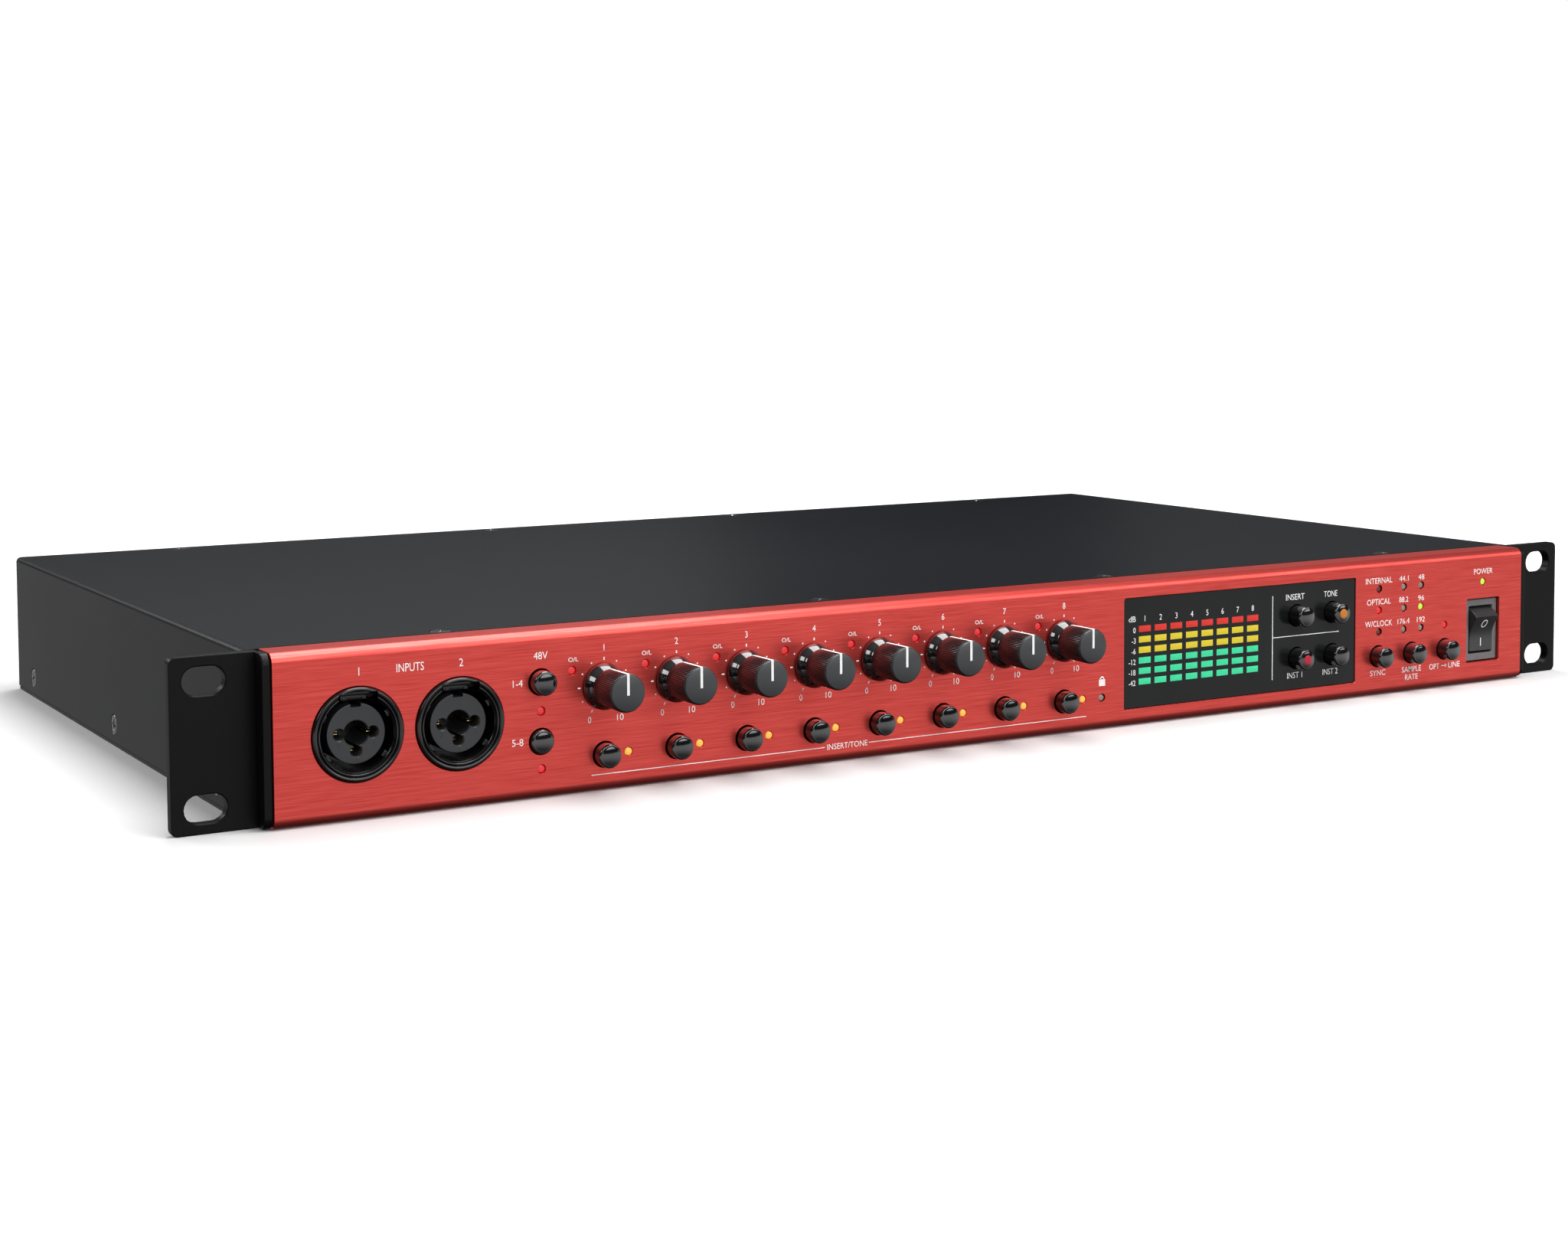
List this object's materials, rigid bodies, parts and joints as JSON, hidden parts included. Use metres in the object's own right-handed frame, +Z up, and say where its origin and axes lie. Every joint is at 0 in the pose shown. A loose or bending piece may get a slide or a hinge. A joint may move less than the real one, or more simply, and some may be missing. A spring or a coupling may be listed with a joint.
{
  "type": "audio interface",
  "caption": "Rack-mount audio interface: red brushed front with gain knobs, push buttons, level meter window, combination sockets and power rocker; black steel case with rear connectors.",
  "frame": {"origin": "under the middle of the whole object's box, on the surface that it stands on", "axes": "+X to the right along the rack width, seen from the front; +Y from the front panel to the rear; +Z up"},
  "size_m": [0.4826, 0.2762, 0.0444],
  "materials": {
    "red_anodised": "brushed aluminium, anodised red, fine grain along X",
    "ear_black": "satin black powder coat",
    "powder_black": "fine-textured black powder coat",
    "dark_steel": "black-plated steel",
    "bright_steel": "nickel plate",
    "socket_black": "moulded, satin black",
    "socket_grey": "moulded, dark grey",
    "contact_gold": "gold flash",
    "window_black": "polished smoked acrylic",
    "bar_red": "lit light pipe",
    "bar_yellow": "lit light pipe",
    "bar_green": "lit light pipe",
    "led_red": "lit lens",
    "led_amber": "lit lens",
    "led_green": "lit lens",
    "led_unlit": "diffused lens, unlit",
    "rocker_grey": "moulded, satin dark grey",
    "pot_metal": "nickel plated",
    "board_green": "solder resist over glass epoxy",
    "wire_sleeve": "soft sleeve",
    "knob_black": "moulded, gloss skirt and ribbed grip",
    "button_black": "moulded, gloss"
  },
  "bodies": {
    "chassis": {"front_panel": "red_anodised", "rack_ear_left": "ear_black", "rack_ear_right": "ear_black", "base_tray": "powder_black", "top_cover": "powder_black", "rear_panel": "powder_black", "case_screws": "dark_steel", "jack_posts": "bright_steel", "socket_housings": "socket_black", "socket_insulators": "socket_grey", "socket_contacts": "contact_gold", "meter_window": "window_black", "meter_bars_red": "bar_red", "meter_bars_yellow": "bar_yellow", "meter_bars_green": "bar_green", "red_leds": "led_red", "amber_leds": "led_amber", "green_leds": "led_green", "unlit_leds": "led_unlit", "rocker_housing": "rocker_grey", "gain_pots": "pot_metal", "push_switches": "socket_black", "control_board": "board_green", "main_board": "board_green", "power_board": "board_green", "internal_wiring": "wire_sleeve", "board_standoffs": "bright_steel", "mains_inlet": "socket_black", "inlet_pins": "bright_steel", "dsub_shells": "bright_steel", "dsub_inserts": "socket_black", "optical_ports": "socket_black", "clock_sockets": "bright_steel", "data_ports": "bright_steel"},
    "gain_knob_1": {"gain_knob_1": "knob_black"},
    "gain_knob_2": {"gain_knob_2": "knob_black"},
    "gain_knob_3": {"gain_knob_3": "knob_black"},
    "gain_knob_4": {"gain_knob_4": "knob_black"},
    "gain_knob_5": {"gain_knob_5": "knob_black"},
    "gain_knob_6": {"gain_knob_6": "knob_black"},
    "gain_knob_7": {"gain_knob_7": "knob_black"},
    "gain_knob_8": {"gain_knob_8": "knob_black"},
    "insert_button_1": {"insert_button_1": "button_black"},
    "insert_button_2": {"insert_button_2": "button_black"},
    "insert_button_3": {"insert_button_3": "button_black"},
    "insert_button_4": {"insert_button_4": "button_black"},
    "insert_button_5": {"insert_button_5": "button_black"},
    "insert_button_6": {"insert_button_6": "button_black"},
    "insert_button_7": {"insert_button_7": "button_black"},
    "insert_button_8": {"insert_button_8": "button_black"},
    "phantom_button_1_4": {"phantom_button_1_4": "button_black"},
    "phantom_button_5_8": {"phantom_button_5_8": "button_black"},
    "insert_select_button": {"insert_select_button": "button_black"},
    "tone_button": {"tone_button": "button_black"},
    "instrument_button_1": {"instrument_button_1": "button_black"},
    "instrument_button_2": {"instrument_button_2": "button_black"},
    "sync_button": {"sync_button": "button_black"},
    "sample_rate_button": {"sample_rate_button": "button_black"},
    "line_source_button": {"line_source_button": "button_black"},
    "power_rocker": {"power_rocker": "rocker_grey"}
  },
  "joints": [
    {"name": "gain_1_turn", "type": "hinge", "parent": "chassis", "child": "gain_knob_1", "pos_m": [-0.1267, -0.1289, 0.0283], "axis": [0, 1, 0], "range_deg": [-150, 150]},
    {"name": "gain_2_turn", "type": "hinge", "parent": "chassis", "child": "gain_knob_2", "pos_m": [-0.105, -0.1289, 0.0283], "axis": [0, 1, 0], "range_deg": [-150, 150]},
    {"name": "gain_3_turn", "type": "hinge", "parent": "chassis", "child": "gain_knob_3", "pos_m": [-0.0833, -0.1289, 0.0283], "axis": [0, 1, 0], "range_deg": [-150, 150]},
    {"name": "gain_4_turn", "type": "hinge", "parent": "chassis", "child": "gain_knob_4", "pos_m": [-0.0616, -0.1289, 0.0283], "axis": [0, 1, 0], "range_deg": [-150, 150]},
    {"name": "gain_5_turn", "type": "hinge", "parent": "chassis", "child": "gain_knob_5", "pos_m": [-0.0399, -0.1289, 0.0283], "axis": [0, 1, 0], "range_deg": [-150, 150]},
    {"name": "gain_6_turn", "type": "hinge", "parent": "chassis", "child": "gain_knob_6", "pos_m": [-0.0182, -0.1289, 0.0283], "axis": [0, 1, 0], "range_deg": [-150, 150]},
    {"name": "gain_7_turn", "type": "hinge", "parent": "chassis", "child": "gain_knob_7", "pos_m": [0.0035, -0.1289, 0.0283], "axis": [0, 1, 0], "range_deg": [-150, 150]},
    {"name": "gain_8_turn", "type": "hinge", "parent": "chassis", "child": "gain_knob_8", "pos_m": [0.0252, -0.1289, 0.0283], "axis": [0, 1, 0], "range_deg": [-150, 150]},
    {"name": "insert_1_press", "type": "slide", "parent": "chassis", "child": "insert_button_1", "axis": [0, 1, 0], "range_m": [0, 0.0008], "stiffness_N_per_m": 250},
    {"name": "insert_2_press", "type": "slide", "parent": "chassis", "child": "insert_button_2", "axis": [0, 1, 0], "range_m": [0, 0.0008], "stiffness_N_per_m": 250},
    {"name": "insert_3_press", "type": "slide", "parent": "chassis", "child": "insert_button_3", "axis": [0, 1, 0], "range_m": [0, 0.0008], "stiffness_N_per_m": 250},
    {"name": "insert_4_press", "type": "slide", "parent": "chassis", "child": "insert_button_4", "axis": [0, 1, 0], "range_m": [0, 0.0008], "stiffness_N_per_m": 250},
    {"name": "insert_5_press", "type": "slide", "parent": "chassis", "child": "insert_button_5", "axis": [0, 1, 0], "range_m": [0, 0.0008], "stiffness_N_per_m": 250},
    {"name": "insert_6_press", "type": "slide", "parent": "chassis", "child": "insert_button_6", "axis": [0, 1, 0], "range_m": [0, 0.0008], "stiffness_N_per_m": 250},
    {"name": "insert_7_press", "type": "slide", "parent": "chassis", "child": "insert_button_7", "axis": [0, 1, 0], "range_m": [0, 0.0008], "stiffness_N_per_m": 250},
    {"name": "insert_8_press", "type": "slide", "parent": "chassis", "child": "insert_button_8", "axis": [0, 1, 0], "range_m": [0, 0.0008], "stiffness_N_per_m": 250},
    {"name": "phantom_1_4_press", "type": "slide", "parent": "chassis", "child": "phantom_button_1_4", "axis": [0, 1, 0], "range_m": [0, 0.0025], "stiffness_N_per_m": 120},
    {"name": "phantom_5_8_press", "type": "slide", "parent": "chassis", "child": "phantom_button_5_8", "axis": [0, 1, 0], "range_m": [-0.0022, 0.0003]},
    {"name": "insert_select_press", "type": "slide", "parent": "chassis", "child": "insert_select_button", "axis": [0, 1, 0], "range_m": [0, 0.0008], "stiffness_N_per_m": 250},
    {"name": "tone_press", "type": "slide", "parent": "chassis", "child": "tone_button", "axis": [0, 1, 0], "range_m": [0, 0.0008], "stiffness_N_per_m": 250},
    {"name": "instrument_1_press", "type": "slide", "parent": "chassis", "child": "instrument_button_1", "axis": [0, 1, 0], "range_m": [0, 0.0008], "stiffness_N_per_m": 250},
    {"name": "instrument_2_press", "type": "slide", "parent": "chassis", "child": "instrument_button_2", "axis": [0, 1, 0], "range_m": [0, 0.0008], "stiffness_N_per_m": 250},
    {"name": "sync_press", "type": "slide", "parent": "chassis", "child": "sync_button", "axis": [0, 1, 0], "range_m": [0, 0.0008], "stiffness_N_per_m": 250},
    {"name": "sample_rate_press", "type": "slide", "parent": "chassis", "child": "sample_rate_button", "axis": [0, 1, 0], "range_m": [0, 0.0008], "stiffness_N_per_m": 250},
    {"name": "line_source_press", "type": "slide", "parent": "chassis", "child": "line_source_button", "axis": [0, 1, 0], "range_m": [0, 0.0008], "stiffness_N_per_m": 250},
    {"name": "power_rocker_tilt", "type": "hinge", "parent": "chassis", "child": "power_rocker", "pos_m": [0.1997, -0.1199, 0.018], "axis": [-1, 0, 0], "range_deg": [0, 30]}
  ]
}
